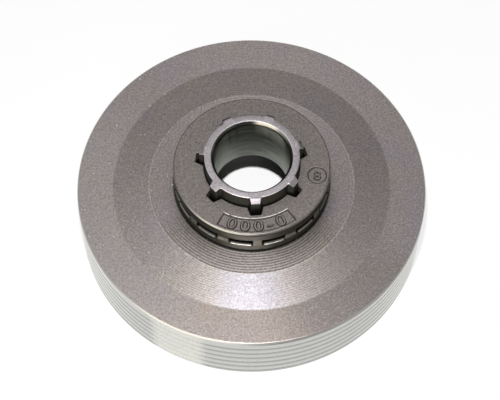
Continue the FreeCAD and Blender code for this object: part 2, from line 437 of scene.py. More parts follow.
# Where noise from 0 to 1, or a ring's wave from -1 to 1, starts to count and counts in full.
COOL_CLOUD = (0.5, 0.3)
RUSTY_CLOUD = (0.5, 0.75)
DARK_GRAIN = (0.52, 0.3)
BRIGHT_GRAIN = (0.5, 0.75)
CONE_EDGE_GLINT_GRAIN = (0.35, 0.55)
NICK_GRAIN = (0.8, 0.86)
RING_CREST = (0.2, 0.9)
RING_TROUGH = (0.5, -0.7)
FLANK_CREST = (0.2, 1.0)
FLANK_TROUGH = (0.6, -0.6)
WARM_LIT_SIDE = (FRONT, 36.9, 0)
BLUE_SIDE = (FRONT, 21.6, 0)
SHADED_RING_SIDE = (FRONT, 69.5, 45.6)
CUT_SIDE = (FRONT, 60, 25.8)
OLIVE_SIDE = (FRONT, 66.4, 45.6)
OFF_OLIVE_SIDE = (FRONT, 0, 25.8)
FLANK_SIDE = (FRONT, 53.1, 36.9)
OFF_FLANK_SIDE = (FRONT, 0, 18.2)
BACK_FLANK = (BACK, 60, 25.8)
# Painted light and shade: the land is paler on the left and darker on the front right.
PALE_SIDE = (197, 66.4, 18.2)
DIM_SIDE = (308, 30.7, 11.5)
NICKED_SIDE = (170, 72.5, 25.8)
print("sides with marks at", [side[0] for side in (PALE_SIDE, DIM_SIDE, NICKED_SIDE)], "degrees")

# %% Face of the cup
RIM_RADIUS = 15.65
CONTACT_SHADE_REACH = 0.4
CONE_EDGE_GLINT_REACH = 0.14
CLOUD_SIZE = 6.0
CLOUD_DETAIL = 3.0
CLOUD_STAIN = 0.4
FRONT_LIT_TINT = 0.6
BACK_SHARE = 0.4
DARK_GRAIN_SHARE = 0.6
RING_TROUGH_SHADE = 0.6
THIN_DIRT = 0.02
NICK_SPACING = 0.6
NICK_DETAIL = 0.0


def face_colour(spot, mottle, rings, flank_rings):
    """Grey steel: cool and rusty clouds, dark and bright grains, painted light, painted shade at the rim."""
    land, cone, middle = face_zones(spot.radius)
    cloud = spot.grain(CLOUD_SIZE, CLOUD_DETAIL)
    stain_and_lit_tint = cloud.between(*RUSTY_CLOUD) * CLOUD_STAIN
    # Painted highlight tint: the land turns warmer in front, where the lamp's highlight falls.
    stain_and_lit_tint = stain_and_lit_tint + spot.side(*WARM_LIT_SIDE) * land * FRONT_LIT_TINT
    # Painted highlight tint: the middle turns olive on both sides of the front, where the highlight fans
    # out.
    olive = middle * spot.side(*OLIVE_SIDE) * spot.side(*OFF_OLIVE_SIDE)
    # Painted light and shade: on the cone's flanks beside the front, and at its back, the rings get lighter
    # crests and darker troughs.
    flanks = spot.side(*FLANK_SIDE) * spot.side(*OFF_FLANK_SIDE)
    flanks = (flanks + spot.side(*BACK_FLANK) * BACK_SHARE) * cone
    # Painted highlight on the middle's ring crests in front, and painted shade in its ring troughs in front,
    # over a thin dirt all round.
    crest = rings.between(*RING_CREST) * middle * spot.side(*CUT_SIDE)
    ring_shade_and_dirt = rings.between(*RING_TROUGH) * spot.side(*SHADED_RING_SIDE) * RING_TROUGH_SHADE + THIN_DIRT
    dark = mottle.between(*DARK_GRAIN) * DARK_GRAIN_SHARE + middle * ring_shade_and_dirt
    # Painted highlight: a broken bright line along the cone's inner edge.
    cone_edge_glint = spot.radius.within((CONE_END - CONE_EDGE_GLINT_REACH, CONE_END), (CONE_END + CONE_EDGE_GLINT_REACH, CONE_END))
    nicks = spot.grain(NICK_SPACING, NICK_DETAIL).between(*NICK_GRAIN) * spot.side(*NICKED_SIDE)
    # Painted shade: the face turns black at the rim's foot, where the rim shades it.
    contact_shade = spot.radius.between(RIM_RADIUS + CONTACT_SHADE_REACH, RIM_RADIUS)
    return layers(
        FACE_STEEL,
        (cloud.between(*COOL_CLOUD), 0.6, FACE_COOL),
        (stain_and_lit_tint, 1.0, FACE_STAIN_AND_LIT_TINT),
        (olive, 0.5, FACE_OLIVE),
        (land * spot.side(*PALE_SIDE), 0.22, FACE_FLECK_AND_HIGHLIGHT),
        (land * spot.side(*DIM_SIDE), 0.35, FACE_DARK),
        (cone * spot.side(*BLUE_SIDE), 0.9, CONE_BLUE),
        (flanks * flank_rings.between(*FLANK_TROUGH), 0.5, FACE_OLIVE),
        (flanks * flank_rings.between(*FLANK_CREST), 0.25, FACE_FLECK_AND_HIGHLIGHT),
        (crest, 0.5, FACE_FLECK_AND_HIGHLIGHT),
        (dark, 1.0, FACE_DARK),
        (mottle.between(*BRIGHT_GRAIN), 0.5, FACE_FLECK_AND_HIGHLIGHT),
        (cone_edge_glint * mottle.between(*CONE_EDGE_GLINT_GRAIN), 0.7, FACE_FLECK_AND_HIGHLIGHT),
        (nicks, 0.8, BARE_METAL_AND_HIGHLIGHT),
        (contact_shade, 0.95, PAINTED_SHADE_BLACK),
    )


# The painted shade at the rim's foot reaches this far.
print("oil reaches", CONTACT_SHADE_REACH, "mm from the rim")

# %% Wall of the cup
FACE_HEIGHT = 13.75
FACE_CHAMFER = 0.25
RIDGE_DEPTH = 0.12
# Millimetres in from the wall's crests, or below the face, where something starts and is full.
TROUGH_INSET = (0.02, RIDGE_DEPTH)
SHADE_DROP = (1.15, 0.52)
WALL_STEEL = (0.580, 0.580, 0.565)
WALL_GRAIN_AND_SHEEN = (0.820, 0.820, 0.785)
WALL_RUBBED = (0.800, 0.800, 0.730)
TROUGH_STEEL = (0.320, 0.322, 0.308)
EDGE_SHADE = (0.130, 0.120, 0.120)
WALL_DARK_GRAIN = (0.5, 0.25)
# How much of the wall dirt and grains cover, and how much rubbing changes that.
WALL_DIRT = 0.85
DIRT_RUBBED_OFF = 0.65
DARK_COVER = 0.25
BRIGHT_COVER = 0.3
GRAIN_RUBBED = 0.3
# Painted sheen: the wall is lighter on its left and right sides.
SHEEN_SIDES = (FRONT, 31.8, 63.3)
RUBBED_WALL = (246, 10.9, 6.3)
SHADED_WALL = (312, 47.2, 31.8)


def wall_colour(spot, inset, drop, mottle):
    """Bright crests, dirty troughs, rubbed smooth at one place, painted sheen on both sides, a shaded upper
    edge.
    """
    bright_patch = spot.side(*RUBBED_WALL)
    trough = inset.between(*TROUGH_INSET)
    shade = drop.between(*SHADE_DROP)
    return layers(
        WALL_STEEL,
        (spot.side(*SHEEN_SIDES), 0.75, WALL_GRAIN_AND_SHEEN),
        (bright_patch, 0.6, WALL_RUBBED),
        (trough * (WALL_DIRT - bright_patch * DIRT_RUBBED_OFF), 1.0, TROUGH_STEEL),
        (mottle.between(*WALL_DARK_GRAIN) * (bright_patch * GRAIN_RUBBED + DARK_COVER), 1.0, TROUGH_STEEL),
        (mottle.between(*BRIGHT_GRAIN) * (bright_patch * GRAIN_RUBBED + BRIGHT_COVER), 1.0, WALL_GRAIN_AND_SHEEN),
        (shade * spot.side(*SHADED_WALL), 0.8, EDGE_SHADE),
    )


print("wall: ridges", RIDGE_DEPTH, "mm deep")

# %% Cuts and grain of the cup
TURNING_PITCH = 0.56
CONE_PITCH = 0.3
FLANK_PITCH = 0.47
WOBBLE_SIZE = 9.0
WOBBLE = 6.0
MOTTLE_SIZE = 0.36
MOTTLE_DETAIL = 3.0
SPECK_SIZE = 0.25
SPECK_DETAIL = 2.0
GRAIN_ROUGHNESS = 0.7
SPARKLE_SPECK = (0.64, 0.72)
SPARKLE_GRAIN = (0.5, 0.6)
WALL_INSET = (0.2, 0.15)
EDGE_INSET = (FACE_CHAMFER + 0.05, FACE_CHAMFER - 0.02)
EDGE_DROP = (FACE_CHAMFER + 0.05, FACE_CHAMFER)
INSIDE_INSET = (1.0, 2.0)
INSIDE_DROP = (0.7, 1.0)
EDGE_STEEL = (0.620, 0.600, 0.560)
INSIDE_STEEL = (0.080, 0.076, 0.070)
# Depths of the cuts in millimetres, and how much deeper they are in front.
MIDDLE_CUT = 0.005
MIDDLE_CUT_AHEAD = 0.002
LAND_CUT = 0.0012
LAND_CUT_AHEAD = 0.0006
CONE_CUT = 0.004
SPECK_DEPTH = 0.005
TURNED_ROUGHNESS = 0.43


def ring_marks(radius, pitch, wobble):
    """Fine rings that a turning tool leaves: a wave along the radius, shifted by some noise."""
    phase = radius * (2 * math.pi / pitch) + wobble
    return phase.math("SINE", phase)


print("rings every", TURNING_PITCH, "mm on the middle and", CONE_PITCH, "mm on the cone")


# %% Turned finish
def turned_finish():
    material, shader, spot = new_finish("turned_steel")
    inset = drum_radius - spot.radius
    drop = FACE_HEIGHT - spot.height
    mottle = spot.grain(MOTTLE_SIZE, MOTTLE_DETAIL, GRAIN_ROUGHNESS)
    speck = spot.grain(SPECK_SIZE, SPECK_DETAIL, GRAIN_ROUGHNESS)
    wobble = spot.grain(WOBBLE_SIZE) * WOBBLE
    pitches = (TURNING_PITCH, CONE_PITCH, FLANK_PITCH)
    coarse, fine, flank_rings = [ring_marks(spot.radius, pitch, wobble) for pitch in pitches]
    wall = inset.between(*WALL_INSET)
    edge = drop.between(*EDGE_DROP) * inset.between(*EDGE_INSET)
    inside = drop.between(*INSIDE_DROP) * inset.between(*INSIDE_INSET)
    sparkle = speck.between(*SPARKLE_SPECK) * mottle.between(*SPARKLE_GRAIN) * (1 - wall)
    colour = layers(
        face_colour(spot, mottle, coarse, flank_rings),
        (wall, 1.0, wall_colour(spot, inset, drop, mottle)),
        (edge, 1.0, EDGE_STEEL),
        (inside, 1.0, INSIDE_STEEL),
        (sparkle, 0.6, BARE_METAL_AND_HIGHLIGHT),
    )
    ahead = spot.side(*CUT_SIDE)
    land, cone, middle = face_zones(spot.radius)
    land_cut = land * (1 - wall) * (LAND_CUT + ahead * LAND_CUT_AHEAD)
    relief = coarse * (middle * (MIDDLE_CUT + ahead * MIDDLE_CUT_AHEAD) + land_cut)
    relief = relief + fine * cone * CONE_CUT + speck * SPECK_DEPTH
    cloud = spot.grain(CLOUD_SIZE, CLOUD_DETAIL) - 0.5
    # Sparkling grains, the face's edge and the cone are smoother than the rest.
    roughness = TURNED_ROUGHNESS + cloud * 0.08 - sparkle * 0.05 - edge * 0.1 - cone * 0.02
    connect(shader, Base_Color=colour, Roughness=roughness, Normal=bump(relief, 1.0))
    connect(shader, Metallic=1.0, Anisotropic=0.3, Anisotropic_Rotation=0.25)
    return material


turned_steel = turned_finish()
print("finish:", turned_steel.name)

# %% [markdown]
# ## Ground steel of the hub
# The hub is ground and brighter than the cup. Painted shade darkens its upright sides, the tips of
# its back teeth and one side of the bore's mouth. The bore's mouth is a polished curve, and painted
# highlights lie along its edge at the back and along the hub's top outer edges and sloping teeth.
# The bore itself is streaked round the axis, as a boring bar leaves it, and painted highlights
# brighten it at two places.

# %% Bore of the hub
BORE_RADIUS = 7.5
BORE_STEEL = (0.200, 0.212, 0.190)
BORE_LOW_STEEL = (0.400, 0.420, 0.386)
BORE_STREAK_AND_HIGHLIGHT = (0.900, 0.900, 0.830)
HUB_SIDE = (0.105, 0.106, 0.092)
STREAK_SQUEEZE = (0.12, 0.12, 1.0)
STREAK_WIDTH = 0.5
STREAK_DETAIL = 3.0
BRIGHT_STREAK = (0.5, 0.8)
DARK_STREAK = (0.5, 0.25)
# Millimetres below the hub's top where the bore starts to brighten, and where its painted highlight lies.
PALE_DEPTH = 2.0
BORE_HIGHLIGHT_DEPTH = (5.0, 1.0)
HIGHLIT_BORE_SIDE = (57, 32.9, 11.5)
HIGHLIT_LOW_BORE_SIDE = (0, 45.6, 18.2)
LOW_HIGHLIGHT_SHARE = 0.3
hub_top = hub_high.z
hub_foot = hub_low.z


def bore_colour(spot):
    """Grey steel that brightens downwards, with streaks and painted highlights at two places."""
    drop = hub_top - spot.height
    low = drop.between(PALE_DEPTH, hub_top - hub_foot)
    streaks = spot.grain(STREAK_WIDTH, STREAK_DETAIL, squeeze=STREAK_SQUEEZE)
    # Painted highlights: the upper bore on the back right, and the lower bore on the right.
    bright_patch = spot.side(*HIGHLIT_BORE_SIDE) * drop.between(*BORE_HIGHLIGHT_DEPTH)
    bright_patch = bright_patch + low * spot.side(*HIGHLIT_LOW_BORE_SIDE) * LOW_HIGHLIGHT_SHARE
    return layers(
        BORE_STEEL,
        (low, 1.0, BORE_LOW_STEEL),
        (streaks.between(*BRIGHT_STREAK), 0.3, BORE_STREAK_AND_HIGHLIGHT),
        (streaks.between(*DARK_STREAK), 0.5, HUB_SIDE),
        (bright_patch, 1.0, BORE_STREAK_AND_HIGHLIGHT),
    )


print("bore", 2 * BORE_RADIUS, "mm wide")

# %% Edges and mouth of the hub
MOUTH_RUN = 0.6
SLEEVE_RADIUS = 9.38
TIP_RADIUS = 10.42
HUB_STEEL = (0.530, 0.485, 0.510)
HUB_SHADE = (0.260, 0.235, 0.245)
HUB_FLECK = (0.800, 0.770, 0.790)
TIP_SHADE = (0.045, 0.045, 0.040)
MOUTH_STEEL = (0.480, 0.460, 0.400)
MOUTH_SHADE = (0.120, 0.115, 0.105)
HUB_SPECK_SIZE = 0.35
HUB_SPECK_DEPTH = 0.006
HUB_CLOUD_SIZE = 1.6
HUB_ROUGHNESS = 0.4
HUB_BRIGHT_SPECK = (0.55, 0.75)
# How far up a surface faces where it starts to count, and where it counts in full.
HUB_UPRIGHT = (0.4, 0.2)
HUB_BEVEL_RISE = (0.3, 0.5)
HUB_BEVEL_FALL = (0.98, 0.88)
LINE_FACING = (0.2, 0.4)
# Millimetres outside the bore, the mouth's edge and the sleeve, and inside the tips.
BORE_REACH = (0.1, 0.01)
MOUTH_REACH = (0.04, -0.04)
LINE_RISE = (-0.12, -0.06)
LINE_FALL = (0.08, 0.02)
SLEEVE_REACH = (0.06, 0.01)
TIP_REACH = (0.6, 0.45)
BACK_TEETH = (BACK, 84.3, 66.4)
BACK_MOUTH = (BACK, 101.5, 66.4)
SHADED_MOUTH = (125, 45.6, 31.8)
# Tint of a metal at a grazing angle, below white so that the sides painted dark stay dark.
DULL_EDGE = (0.5, 0.5, 0.48, 1.0)
mouth_edge = BORE_RADIUS + MOUTH_RUN
print("mouth", round(2 * mouth_edge, 2), "mm wide")


# %% Ground finish
def ground_finish():
    material, shader, spot = new_finish("ground_steel")
    radius = spot.radius
    facing = spot.upward()
    speck = spot.grain(HUB_SPECK_SIZE, SPECK_DETAIL, GRAIN_ROUGHNESS)
    bored = (radius - BORE_RADIUS).between(*BORE_REACH)
    mouth = (radius - mouth_edge).between(*MOUTH_REACH)
    # Painted shade: the upright sides are darkened.
    upright = facing.between(*HUB_UPRIGHT) * (1 - mouth)
    # Painted highlight on the rounded top outer edges and the sloping tops of the teeth.
    edge = facing.within(HUB_BEVEL_RISE, HUB_BEVEL_FALL) * (1 - mouth)
    edge = edge * (radius - SLEEVE_RADIUS).between(*SLEEVE_REACH)
    # Painted shade on the tips of the back teeth.
    tips = (TIP_RADIUS - radius).between(*TIP_REACH) * spot.side(*BACK_TEETH)
    # Painted highlight line along the back of the mouth's edge.
    line = (radius - mouth_edge).within(LINE_RISE, LINE_FALL)
    line = line * facing.between(*LINE_FACING) * spot.side(*BACK_MOUTH)
    colour = layers(
        HUB_STEEL,
        (speck.between(*DARK_GRAIN), 0.6, HUB_SHADE),
        (speck.between(*HUB_BRIGHT_SPECK), 0.5, HUB_FLECK),
        (edge, 0.8, BARE_METAL_AND_HIGHLIGHT),
        (upright, 1.0, HUB_SIDE),
        (tips, 0.9, TIP_SHADE),
        # Painted shade on one side of the mouth.
        (mouth, 1.0, layers(MOUTH_STEEL, (spot.side(*SHADED_MOUTH), 1.0, MOUTH_SHADE))),
        (line, 1.0, BARE_METAL_AND_HIGHLIGHT),
        (bored, 1.0, bore_colour(spot)),
    )
    cloud = spot.grain(HUB_CLOUD_SIZE, CLOUD_DETAIL) - 0.5
    # The mouth is polished, the bore below it dull.
    roughness = HUB_ROUGHNESS + cloud * 0.1 - mouth * 0.22 + bored * 0.22
    relief = speck * HUB_SPECK_DEPTH * (1 - mouth * 0.7)
    connect(shader, Base_Color=colour, Roughness=roughness, Normal=bump(relief, 1.0))
    connect(shader, Metallic=1.0, Anisotropic=0.1, Anisotropic_Rotation=0.25, Specular_Tint=DULL_EDGE)
    return material


ground_steel = ground_finish()
print("finish:", ground_steel.name)

# %% [markdown]
# ## Pressed steel of the rim
# The rim is pressed from metal powder, so it is duller than the rest, and grainy. Painted shade
# darkens its corners: the ends of the windows between the rails, the channel under the upper rail,
# the foot, a line under its upper edge in front, and the leaning walls of the sunken fields. Its
# upright sides are painted darker than its top, with a painted reflection on their front. Painted
# highlights brighten its upper edge on the front left and the inner edge of the curved field.

# %% Corners with painted shade
RAIL_THICKNESS = 2.5
SPLINE_COUNT = 7
SPLINE_ANGLE = math.radians(274.8)
POST_HALF_WIDTH = 0.9
BLOCK_HALF_WIDTH = 1.25
# Millimetres from the side of a post or block where its shade starts, is full and ends.
CORNER_RISE = (-0.1, 0.0)
CORNER_FALL = (0.6, 0.36)
# Millimetres above the lower lip and the upper one between which the windows lie.
WINDOW_FOOT = (-0.2, -0.1)
WINDOW_TOP = (0.1, 0.0)
SLOT_RADIUS = 11.25
FIELD_DEPTH = 0.26
MARK_PLACE = Vector((12.93, -2.09))
MARK_RADIUS = 2.0
# Millimetres above a field's floor, below the rim's top, and from the slots, the outside and the mark.
WALL_FOOT = (0.0, 0.03)
WALL_DROP = (0.02, 0.05)
BAND_SLOT_GAP = (0.3, 0.5)
BAND_OUTER_GAP = (0.5, 0.6)
MARK_REACH = (0.3, 0.2)
rim_bottom = rim_low.z
rim_top = rim_high.z
upper_lip = rim_top - RAIL_THICKNESS
lower_lip = rim_bottom + RAIL_THICKNESS


def window_corners(spot):
    """Painted shade in the ends of the windows: a dark strip beside every post and every block."""
    sector = 2 * math.pi / SPLINE_COUNT
    angle = spot.place.math("ARCTAN2", spot.along("Y"), spot.along("X"))
    share = angle.math("FRACT", (angle - SPLINE_ANGLE) / sector + SPLINE_COUNT)
    from_block = angle.math("ABSOLUTE", share - 0.5) * (sector * RIM_RADIUS)
    from_post = sector * RIM_RADIUS / 2 - from_block
    ends = []
    for distance, half_width in ((from_block, BLOCK_HALF_WIDTH), (from_post, POST_HALF_WIDTH)):
        ends.append((distance - half_width).within(CORNER_RISE, CORNER_FALL))
    corners = ends[0] + ends[1]
    window = (spot.height - lower_lip).between(*WINDOW_FOOT) * (spot.height - upper_lip).between(*WINDOW_TOP)
    return corners * window


def field_walls(spot):
    """The leaning walls of the sunken fields and of the digits, darkened as painted shade."""
    drop = rim_top - spot.height
    walls = (FIELD_DEPTH - drop).between(*WALL_FOOT) * drop.between(*WALL_DROP)
    band = (RIM_RADIUS - spot.radius).between(*BAND_OUTER_GAP)
    band = band * (spot.radius - SLOT_RADIUS).between(*BAND_SLOT_GAP)
    flat_place = spot.place.vector("MULTIPLY", spot.place, FLAT)
    from_mark = flat_place.vector("DISTANCE", flat_place, MARK_PLACE.to_3d(), output="Value")
    mark = (from_mark - MARK_RADIUS).between(*MARK_REACH)
    return walls * band.math("MAXIMUM", band, mark)


print("rim from", round(rim_bottom, 2), "to", round(rim_top, 2), "mm")

# %% Painted highlight on the curved field's edge
BAND_INNER = 12.0
BAND_OUTER = 15.0
BAND_START = math.radians(242.9)
BAND_END = math.radians(306.5)
# Millimetres outside the field's inner edge, and below the rim's top.
GLINT_RISE = (-0.16, -0.096)
GLINT_FALL = (0.048, 0.0)
GLINT_DROP = (0.1, 0.05)
GLINT_LENGTH = 0.97


def field_glint(spot):
    """A painted highlight along the curved field's inner edge."""
    middle = math.degrees(BAND_START + BAND_END) / 2
    reach = math.degrees(BAND_END - BAND_START) / 2
    glint = spot.side(middle, reach, GLINT_LENGTH * reach)
    glint = glint * (spot.radius - BAND_INNER).within(GLINT_RISE, GLINT_FALL)
    return glint * (rim_top - spot.height).between(*GLINT_DROP)


print("curved field", round(math.degrees(BAND_END - BAND_START), 1), "degrees long")

# %% Colours and edges of the rim
BROW_CHAMFER = 0.27
RIM_STEEL = (0.258, 0.231, 0.222)
RIM_WEAR_AND_HIGHLIGHT = (0.440, 0.425, 0.380)
RIM_SIDE = (0.088, 0.087, 0.078)
RIM_SIDE_REFLECTION = (0.178, 0.176, 0.158)
RIM_BAR = (0.270, 0.266, 0.235)
RIM_LIP = (0.250, 0.243, 0.215)
RIM_GLINT = (0.850, 0.830, 0.790)
RIM_PORE = (0.070, 0.066, 0.062)
PORE_SIZE = 0.38
PORE_DEPTH = 0.012
RIM_CLOUD_SIZE = 3.0
RIM_ROUGHNESS = 0.6
PORE_DARK = (0.5, 0.3)
GLINT_GRAIN = (0.3, 0.5)
# How far up a surface faces where it starts to count, and where it counts in full.
RIM_UPRIGHT = (0.5, 0.2)
LIP_FACING = (0.5, 0.8)
BROW_RISE = (0.2, 0.5)
BROW_FALL = (0.97, 0.9)
# Millimetres in from the rim's outside.
OUTSIDE_INSET = (1.0, 0.5)
LIP_INSET = (0.45, 0.35)
DEEP_INSET = (0.4, 0.5)
OVERHUNG_INSET = (0.15, 0.25)
BROW_INSET = (1.2 * BROW_CHAMFER, BROW_CHAMFER)
# Millimetres below the rim's top and below the upper lip.
BROW_DROP = (1.3 * BROW_CHAMFER, BROW_CHAMFER)
BROW_SHADE_DROP = (0.72, 0.62)
OVERHUNG_DROP = (1.0, 0.8)
# Millimetres above the rim's foot, the lower lip and the upper one.
FOOT_RISE = (0.85, 0.51)
CHANNEL_FOOT = (-0.2, -0.12)
CHANNEL_TOP = (0.05, 0.0)
HIGHLIT_BROW = (243, 36.9, 14.1)
REFLECTING_SIDE = (267, 21.6, 0)
SHADED_BROW = (268, 15.2, 9.9)
print("rim's upper edge", BROW_CHAMFER, "mm")

# %% Pressed finish
# How much painted shade each place gets.
FIELD_WALL_SHADE = 0.74
WINDOW_CORNER_SHADE = 0.9
LOW_PLACE_SHADE = 0.95
UNDER_BROW_SHADE = 0.7


def rim_painted_shade(spot, inset, upright, channel):
    """Share of painted shade: corners, field walls, deep channel, under the lip, the foot, under the edge in
    front.
    """
    deep = channel * inset.between(*DEEP_INSET)
    overhung = channel * inset.between(*OVERHUNG_INSET)
    overhung = overhung * (upper_lip - spot.height).between(*OVERHUNG_DROP)
    foot = (spot.height - rim_bottom).between(*FOOT_RISE)
    shade = upright * (rim_top - spot.height).between(*BROW_SHADE_DROP) * spot.side(*SHADED_BROW)
    low_places = (deep + overhung + foot) * LOW_PLACE_SHADE
    painted_shade = field_walls(spot) * FIELD_WALL_SHADE
    for more in (window_corners(spot) * WINDOW_CORNER_SHADE, low_places, shade * UNDER_BROW_SHADE):
        painted_shade = painted_shade.math("MAXIMUM", painted_shade, more)
    return painted_shade


def pressed_finish():
    material, shader, spot = new_finish("pressed_steel")
    inset = RIM_RADIUS - spot.radius
    drop = rim_top - spot.height
    facing = spot.upward()
    pores = spot.grain(PORE_SIZE, SPECK_DETAIL, GRAIN_ROUGHNESS)
    upright = facing.between(*RIM_UPRIGHT) * inset.between(*OUTSIDE_INSET)
    channel = (spot.height - lower_lip).between(*CHANNEL_FOOT)
    channel = channel * (spot.height - upper_lip).between(*CHANNEL_TOP)
    lip = channel * facing.between(*LIP_FACING) * inset.between(*LIP_INSET)
    brow = facing.within(BROW_RISE, BROW_FALL) * drop.between(*BROW_DROP) * inset.between(*BROW_INSET)
    colour = layers(
        RIM_STEEL,
        (pores.between(*BRIGHT_GRAIN), 0.5, RIM_WEAR_AND_HIGHLIGHT),
        (pores.between(*PORE_DARK), 0.5, RIM_PORE),
        # Painted shade: the upright sides are darker than the top, and a painted reflection lightens them in
        # front.
        (upright, 1.0, RIM_SIDE),
        (upright * spot.side(*REFLECTING_SIDE), 1.0, RIM_SIDE_REFLECTION),
        (upright * channel, 1.0, RIM_BAR),
        # Painted highlight on the upper edge's chamfer, on the front left.
        (brow * spot.side(*HIGHLIT_BROW), 1.0, RIM_WEAR_AND_HIGHLIGHT),
        (lip, 1.0, RIM_LIP),
        (rim_painted_shade(spot, inset, upright, channel), 1.0, PAINTED_SHADE_BLACK),
        (field_glint(spot) * pores.between(*GLINT_GRAIN), 0.8, RIM_GLINT),
    )
    cloud = spot.grain(RIM_CLOUD_SIZE, CLOUD_DETAIL) - 0.5
    # Edges that are rubbed by hands and chain are smoother.
    roughness = RIM_ROUGHNESS + cloud * 0.1 - brow * 0.26 - lip * 0.24 - upright * 0.16
    connect(shader, Base_Color=colour, Roughness=roughness, Normal=bump(pores, PORE_DEPTH))
    connect(shader, Metallic=1.0, Specular_Tint=DULL_EDGE)
    return material


pressed_steel = pressed_finish()
print("finish:", pressed_steel.name)

# %% [markdown]
# ## Geometry Nodes helpers
# A tree needs its input and output sockets declared, and a modifier's inputs are set by each
# socket's identifier. After the tree has run, the evaluated result is kept as a plain mesh and
# the modifier goes.


# %% Trees
def new_tree(name, inputs):
    """Geometry Nodes tree with these named inputs; returns it and the flow of each input."""
    tree = bpy.data.node_groups.new(name, "GeometryNodeTree")
    for label, kind in {"Geometry": "NodeSocketGeometry", **inputs}.items():
        tree.interface.new_socket(label, in_out="INPUT", socket_type=kind)
    tree.interface.new_socket("Geometry", in_out="OUTPUT", socket_type="NodeSocketGeometry")
    entry = tree.nodes.new("NodeGroupInput")
    return tree, {socket.name: Flow(tree, socket) for socket in entry.outputs if socket.name}


def end_tree(tree, geometry, material):
    """Ends a tree: real geometry instead of instances, then its material."""
    real = geometry.node("GeometryNodeRealizeInstances", None, {0: geometry})
    painted = real.node("GeometryNodeSetMaterial", None, {"Geometry": real, "Material": material})
    leave = tree.nodes.new("NodeGroupOutput")
    tree.links.new(painted.socket, leave.inputs[0])


print("tree helpers ready")


# %% Plain meshes
def new_piece(name, vertices, edges, faces):
    """Mesh object at the origin from places in millimetres."""
    mesh = bpy.data.meshes.new(name)
    mesh.from_pydata([Vector(spot) * MM for spot in vertices], edges, faces)
    piece = bpy.data.objects.new(name, mesh)
    bpy.context.scene.collection.objects.link(piece)
    return piece


def keep_result(piece):
    """Replaces a piece's mesh by what its modifiers make of it, and removes them."""
    depsgraph = bpy.context.evaluated_depsgraph_get()
    made = bpy.data.meshes.new_from_object(piece.evaluated_get(depsgraph))
    piece.modifiers.clear()
    piece.data = made


def run_tree(piece, tree, values):
    modifier = piece.modifiers.new(tree.name, "NODES")
    modifier.node_group = tree
    for socket in tree.interface.items_tree:
        if socket.in_out == "INPUT" and socket.name in values:
            modifier[socket.identifier] = values[socket.name]
    keep_result(piece)


def close_up(piece, sharp_angle=35.0, merge=0.004):
    """Merges doubles, turns faces outwards, and smooths all but the sharp edges."""
    work = bmesh.new()
    work.from_mesh(piece.data)
    bmesh.ops.remove_doubles(work, verts=work.verts, dist=merge * MM)
    bmesh.ops.recalc_face_normals(work, faces=work.faces)
    for face in work.faces:
        face.smooth = True
    open_edges = sum(not edge.is_manifold for edge in work.edges)
    work.to_mesh(piece.data)
    work.free()
    piece.data.set_sharp_from_angle(angle=math.radians(sharp_angle))
    weights = piece.modifiers.new("flat_faces_lead", "WEIGHTED_NORMAL")
    weights.keep_sharp = True
    keep_result(piece)
    print(f"{piece.name}: {len(piece.data.polygons)} faces, {open_edges} open edges")


print("mesh helpers ready")


# %% Rounded outlines
def rounded(corners, steps=5, closed=True):
    """Outline through (x, y, radius) corners, each with a radius replaced by a short arc."""
    points = []
    for index, (x, y, radius) in enumerate(corners):
        here = Vector((x, y))
        inside = closed or 0 < index < len(corners) - 1
        if not radius or not inside:
            points.append(here)
            continue
        before = Vector(corners[index - 1][:2]) - here
        after = Vector(corners[(index + 1) % len(corners)][:2]) - here
        opening = before.angle(after)
        reach = radius / math.tan(opening / 2)
        middle = here + (before.normalized() + after.normalized()).normalized() * (
            radius / math.sin(opening / 2))
        start = here + before.normalized() * reach - middle
        sweep = start.angle_signed(here + after.normalized() * reach - middle)
        for step in range(steps + 1):
            turn = -sweep * step / steps
            points.append(middle + Vector((
                start.x * math.cos(turn) - start.y * math.sin(turn),
                start.x * math.sin(turn) + start.y * math.cos(turn))))
    return points


print("outline helper ready")

# %% [markdown]
# ## The cup
# On a lathe the whole cup is one outline turned about the axis. A Screw modifier could do that.
# A Geometry Nodes tree shows the rule better: the outline is carried round a circle by Curve to
# Mesh. The outline holds the true rounded edge of the face and the wave of the coarse cut.

# %% Turning tree
TURN_CIRCLE = 10.0 * MM


def turning_tree():
    """Carries an outline, x as radius and y as height, round the axis."""
    tree, given = new_tree("turned_outline", {"Steps": "NodeSocketInt", "Material": "NodeSocketMaterial"})
    outline = given["Geometry"].node("GeometryNodeMeshToCurve", None, {"Mesh": given["Geometry"]})
    # The swept outline's x points outwards from the circle, and its y points down.
    shift = {"Geometry": outline, "Translation": (-TURN_CIRCLE, 0, 0), "Scale": (1, -1, 1)}
    outline = outline.node("GeometryNodeTransform", None, shift)
    circle_inputs = {"Resolution": given["Steps"], "Radius": TURN_CIRCLE}
    circle = outline.node("GeometryNodeCurvePrimitiveCircle", None, circle_inputs)
    turned = circle.node("GeometryNodeCurveToMesh", None, {"Curve": circle, "Profile Curve": outline})
    end_tree(tree, turned, given["Material"])
    return tree


def turned_piece(name, outline, steps, material):
    """Closed piece turned from an outline of (radius, height) points in millimetres."""
    count = len(outline)
    edges = [(index, (index + 1) % count) for index in range(count)]
    piece = new_piece(name, [(point.x, point.y, 0) for point in outline], edges, [])
    run_tree(piece, turn_outline, {"Steps": steps, "Material": material})
    return piece


turn_outline = turning_tree()
print("tree:", turn_outline.name)

